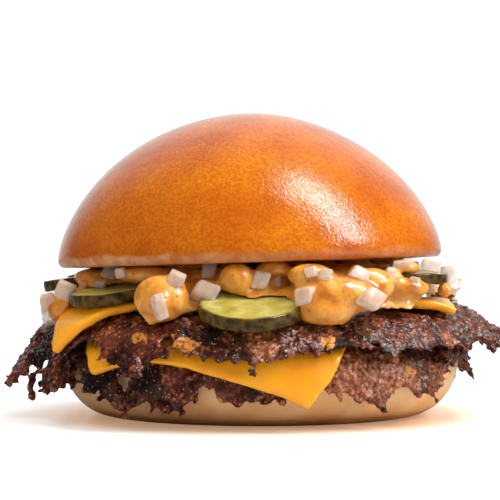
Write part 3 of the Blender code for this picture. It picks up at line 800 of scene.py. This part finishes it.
def make_patty(name, node, droop, seed, spots, lace):
    """A smashed patty: grains of mince stuck together, pitted, and crumbling along its edge.

    droop is the angle at which its edge hangs, and spots are its burnt places, its fatty places with painted
    light, and its cheesy places.
    """
    dice = random.Random(seed)
    bm = merged_copy(node)
    rim = rim_points(bm, math.radians(droop))
    bm = cut_away(smoothed(remeshed(bm, BEEF_ROUGH_VOXEL), 3), holes_for(rim, dice))
    crumbs = bmesh.new()
    add_crumbs(bm, crumbs, rim, dice)
    if lace:
        add_lace(crumbs, rim, lace, dice)
    mesh = mesh_of(crumbs, "crumbs")
    bm.from_mesh(mesh)
    bm = largest_piece(remeshed(bm, BEEF_VOXEL))
    roughen(bm, seed, *spots)
    add_piece(name, mesh_of(bm, name), beef_finish(name, seed % 5), "beef", node)


def make_cheese(name, node, finish):
    """A slice that melted: its edges are rounded and it lies softly over what is below it."""
    bm = smoothed(remeshed(merged_copy(node), CHEESE_VOXEL), 8)
    add_piece(name, mesh_of(bm, name), finish, "cheese", node)


def make_sauce():
    """A heap of sauce that fills the room below the crown. Gives its surface, for the onion to lie on."""
    dice = random.Random(3)
    bm = merged_copy("sauce")
    for i in range(30):
        angle = 12 * i + dice.uniform(-4, 4)
        spot = around(angle, dice.uniform(35, 41) * MM) + Vector((-2.7 * MM, 0, 0))
        spot.z = CROWN_CUT.z + spot.x * math.tan(math.radians(CROWN_LEAN)) - dice.uniform(3.2, 4) * MM
        add_blob(bm, spot, (5.5 * MM, 4.5 * MM, 3.9 * MM), dice)
    for x, y, z, *half in SAUCE_SWELLS:
        scale = Matrix.Diagonal((*(Vector(half) * MM), 1))
        place = Matrix.Translation(Vector((x, y, z)) * MM) @ scale
        bmesh.ops.create_icosphere(bm, subdivisions=3, radius=1, matrix=place)
    bm = smoothed(remeshed(bm, SAUCE_VOXEL), 10)
    surface = BVHTree.FromBMesh(bm)
    add_piece("burger_sauce", mesh_of(bm, "burger_sauce"), sauce_finish(), "sauce", "sauce")
    return surface


def add_die(bm, centre, size, turn, dice):
    """One die of onion: no two sides alike, with edges a little rounded."""
    place = Matrix.Translation(centre) @ turn.to_4x4() @ Matrix.Diagonal((*size, 1))
    verts = bmesh.ops.create_cube(bm, size=1)["verts"]
    taper = dice.uniform(0.7, 1)
    for vertex in verts:
        vertex.co.x += 0.15 * vertex.co.z
        if vertex.co.z > 0:
            vertex.co.y *= taper
        vertex.co += Vector([dice.uniform(-0.15, 0.15) for _ in range(3)])
        vertex.co = place @ vertex.co
    edges = {edge for vertex in verts for edge in vertex.link_edges}
    offset = 0.2 * min(size)
    bmesh.ops.bevel(
        bm, geom=list(edges), offset=offset, affect="EDGES", segments=2, profile=0.5, material=-1
    )


def make_onions(surface):
    """Diced onion: the front dice as served, and the others strewn over the sauce round the back."""
    dice = random.Random(ONION_SEED)
    shapes = random.Random(3)
    bm = bmesh.new()
    for x, y, z, width, height, roll in FRONT_ONIONS:
        size = Vector((0.82 * width, dice.uniform(0.6, 0.85) * min(width, height), 0.84 * height)) * MM
        turn = Euler((dice.uniform(-0.35, 0.35), math.radians(roll), dice.uniform(-0.5, 0.5)))
        hit = surface.ray_cast(Vector((x, y - 40, z)) * MM, Vector((0, 1, 0)))[0]
        add_die(bm, hit or Vector((x, y, z)) * MM, size, turn.to_matrix(), shapes)
    for i in range(BACK_ONIONS):
        angle = -12 + 197 * (i + dice.uniform(0, 1)) / BACK_ONIONS
        start = around(angle, 90 * MM) + Vector((0, 0, dice.uniform(29, 40) * MM))
        hit, normal, _, _ = surface.ray_cast(start, around(angle, -1))
        if hit is None:
            continue
        side = dice.uniform(3.2, 5.4) * MM
        size = Vector((side, side * dice.uniform(0.6, 0.9), side * dice.uniform(0.65, 1.1)))
        turn = Euler((dice.uniform(-0.6, 0.6), dice.uniform(-0.8, 0.8), math.radians(angle + 90)))
        add_die(bm, hit + normal * 0.4 * MM, size, turn.to_matrix(), shapes)
    bmesh.ops.recalc_face_normals(bm, faces=bm.faces)
    mesh = mesh_of(bm, "diced_onion")
    mesh.set_sharp_from_angle(angle=math.radians(50))
    add_piece("diced_onion", mesh, onion_finish(), "onion")


def slice_place(node):
    """The middle and the upward axis of a gherkin slice, its radius and its thickness."""
    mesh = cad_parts[node].data
    axis = sum((face.normal * face.area for face in mesh.polygons if face.normal.z > 0.8), Vector())
    axis.normalize()
    points = [vertex.co for vertex in mesh.vertices]
    middle = sum(points, Vector()) / len(points)
    heights = [(point - middle).dot(axis) for point in points]
    radius = max((point - middle - axis * height).length for point, height in zip(points, heights))
    return middle, axis, radius, max(heights) - min(heights)


def make_gherkins():
    """Slices of gherkin: a cloudy face that dips at the seeds, and a bumpy rind."""
    finish = gherkin_finish()
    for node in sorted(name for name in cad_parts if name.startswith("gherkin")):
        middle, axis, radius, thickness = slice_place(node)
        half = thickness / 2
        face = [
            (radius * share, half - 0.25 * MM * (1 - smooth_step(0.2, 0.9, share))) for share in
            (0, 0.12, 0.24, 0.36, 0.48, 0.6, 0.72, 0.82, 0.9)
        ]
        edge = [
            (radius - 0.3 * MM + 0.3 * MM * math.cos(turn), half * math.sin(turn) * 0.97)
            for turn in (1.2, 0.9, 0.6, 0.3, 0)
        ]
        upper = [*face, (radius - 0.4 * MM, half), *edge]
        profile = upper + [(r, -z) for r, z in reversed(upper[:-1])]
        bm = spun(profile, 84)
        rind = bm.verts.layers.float.new("rind")
        turn = axis.to_track_quat("Z", "Y").to_matrix().to_4x4()
        place = Matrix.Translation(middle) @ turn
        for vertex in bm.verts:
            reach = vertex.co.xy.length
            vertex[rind] = smooth_step(radius - RIND_WIDTH, radius - 0.3 * MM, reach)
            angle = math.atan2(vertex.co.y, vertex.co.x)
            bumps = noise.noise(Vector((3.2 * math.cos(angle), 3.2 * math.sin(angle), middle.x / MM)))
            warts = noise.noise(place @ vertex.co / (1.7 * MM))
            wave = noise.noise(place @ vertex.co / (5 * MM))
            vertex.co.xy *= 1 + 0.03 * bumps * reach / radius + 0.018 * warts * vertex[rind]
            vertex.co.z += 0.16 * MM * wave
            vertex.co = place @ vertex.co
        add_piece(f"{node}_slice", mesh_of(bm, f"{node}_slice"), finish, "gherkin", node)


# Studio


def add_softbox(name, middle, aim, along, length, width, power):
    """A soft light at a place, facing a point, with its long side along a direction."""
    light = bpy.data.lights.new(name, "AREA")
    light.shape = "RECTANGLE"
    light.size = length
    light.size_y = width
    light.energy = power
    back = (middle - aim).normalized()
    side = (along - back * along.dot(back)).normalized()
    turn = Matrix((side, back.cross(side), back)).transposed().to_4x4()
    lamp = bpy.data.objects.new(name, light)
    lamp.matrix_world = Matrix.Translation(middle) @ turn
    bpy.context.scene.collection.objects.link(lamp)
    return lamp


def make_studio():
    """White floor and surroundings, a tall softbox with a bright core at the right, and one overhead."""
    world = bpy.data.worlds.new("studio")
    bpy.context.scene.world = world
    world.use_nodes = True
    tree = world.node_tree
    direction = add_node(tree, "ShaderNodeTexCoord", {}).outputs["Generated"]
    way = add_node(tree, "ShaderNodeSeparateXYZ", {0: direction}).outputs
    rays = add_node(tree, "ShaderNodeLightPath", {}).outputs
    soft = ranged(tree, way["Y"], -0.7, 0.9, *SOFT_FILL)
    raised = maths(tree, "ADD", way["Y"], maths(tree, "MULTIPLY", way["Z"], 0.5))
    sideways = maths(tree, "MULTIPLY", way["X"], way["X"])
    ahead = maths(tree, "SUBTRACT", raised, maths(tree, "MULTIPLY", sideways, 0.5))
    shine = ranged(tree, ahead, 0.45, 1.1, *SHINE_FILL)
    lit = ranged(tree, rays["Is Glossy Ray"], 0, 1, soft, shine)
    strength = maths(tree, "MAXIMUM", lit, maths(tree, "MULTIPLY", rays["Is Camera Ray"], 1.05))
    plug(tree, tree.nodes["Background"], {"Color": (1, 1, 1, 1), "Strength": strength})
    heart = Vector((0, 0, 45 * MM))
    low = Vector((0.857, -0.392, 0.335))
    high = Vector((0.273, -0.076, 0.959))
    right = heart + (low + high).normalized() * 0.9
    overhead = heart + Vector((-0.15, -0.35, 0.92)) * 0.9
    add_softbox("key", right, heart, high - low, 0.95, 0.19, 10.5)
    top = add_softbox("top", overhead, heart, Vector((1, 0, 0)), 0.4, 0.3, 2)
    top.visible_glossy = False
    glint = add_softbox("glint", right, heart, high - low, 0.8, 0.08, 5)
    glint.visible_diffuse = False
    bm = bmesh.new()
    bmesh.ops.create_grid(bm, x_segments=1, y_segments=1, size=4)
    floor = bpy.data.objects.new("floor", mesh_of(bm, "floor"))
    floor.location.z = -0.05 * MM
    finish, tree, shader = new_finish("lit_board", {"Roughness": 0.3, "Emission Color": (1, 1, 1, 1)})
    rays = add_node(tree, "ShaderNodeLightPath", {}).outputs
    distance = add_node(tree, "ShaderNodeVectorMath", {0: place_of(tree)}, operation="LENGTH")
    distance = distance.outputs["Value"]
    far = ranged(tree, distance, FLOOR_NEAR, FLOOR_FAR)
    mirrored = ranged(tree, rays["Is Glossy Ray"], 0, 1, 1, 0.35)
    shade = maths(tree, "MULTIPLY", ranged(tree, far, 0, 1, 0.8, 0), mirrored)
    glow = maths(tree, "MULTIPLY", rays["Is Camera Ray"], ranged(tree, far, 0, 1, 0.35, 1.05))
    # Painted bounce: the floor round the burger is tinted orange in its colour and its glow, as if lit by
    # light off the bun and cheese.
    under = ranged(tree, distance, *WARM_FLOOR)
    warm = ramp(tree, under, (0, (1, 0.64, 0.4)), (0.5, (1, 0.86, 0.74)), (1, (1, 1, 1)))
    plug(tree, shader, {"Base Color": blended(tree, 1, shade, warm, "MULTIPLY"), "Emission Color": warm})
    plug(tree, shader, {"Emission Strength": glow})
    floor.data.materials.append(finish)
    bpy.context.scene.collection.objects.link(floor)
    camera = bpy.data.cameras.new("camera")
    camera.sensor_width = SENSOR_WIDTH
    camera.lens = SENSOR_WIDTH * PHOTO_FOCAL_PIXELS / PHOTO_WIDTH
    viewer = bpy.data.objects.new("camera", camera)
    viewer.location = CAMERA_PLACE
    viewer.rotation_euler = (math.radians(CAMERA_TILT), 0, 0)
    bpy.context.scene.collection.objects.link(viewer)
    bpy.context.scene.camera = viewer
    bpy.context.scene.view_settings.view_transform = "Standard"


noise.seed_set(NOISE_SEED)
make_crown()
make_heel()
make_patty("lower_beef", "patty_lower", 64, 5, (LOWER_CHAR, LOWER_FAT, LOWER_MELT), None)
make_patty("upper_beef", "patty_upper", 48, 23, (UPPER_CHAR, UPPER_FAT, UPPER_MELT), LACE_LENGTHS)
cheese = cheese_finish()
make_cheese("lower_cheese", "cheese_lower", cheese)
make_cheese("upper_cheese", "cheese_upper", cheese)
make_gherkins()
make_onions(make_sauce())
make_studio()
